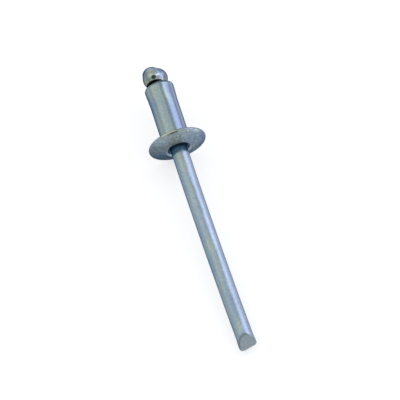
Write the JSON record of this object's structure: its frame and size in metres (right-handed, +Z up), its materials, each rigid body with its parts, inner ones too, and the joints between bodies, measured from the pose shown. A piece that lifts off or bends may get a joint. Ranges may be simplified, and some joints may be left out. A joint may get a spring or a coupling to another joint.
{
  "type": "blind rivet",
  "caption": "Open-end blind rivet with a domed flange, unset on its mandrel: fastens sheets from one side.",
  "frame": {"origin": "on the surface that the rivet lies on, under the middle of its box", "axes": "-Y along the stem to the chisel tail, +Y to the mandrel's head, +Z up from the surface; the rivet's own axis dips 5.39 degrees towards the tail"},
  "size_m": [0.0064, 0.0356, 0.0065],
  "materials": {
    "body_zinc": "bright zinc plating with a blue passivation, softly glossy",
    "mandrel_zinc": "drawn wire with bright zinc plating and a blue passivation"
  },
  "bodies": {
    "root": {"rivet_body": "body_zinc", "mandrel": "mandrel_zinc"}
  },
  "joints": []
}
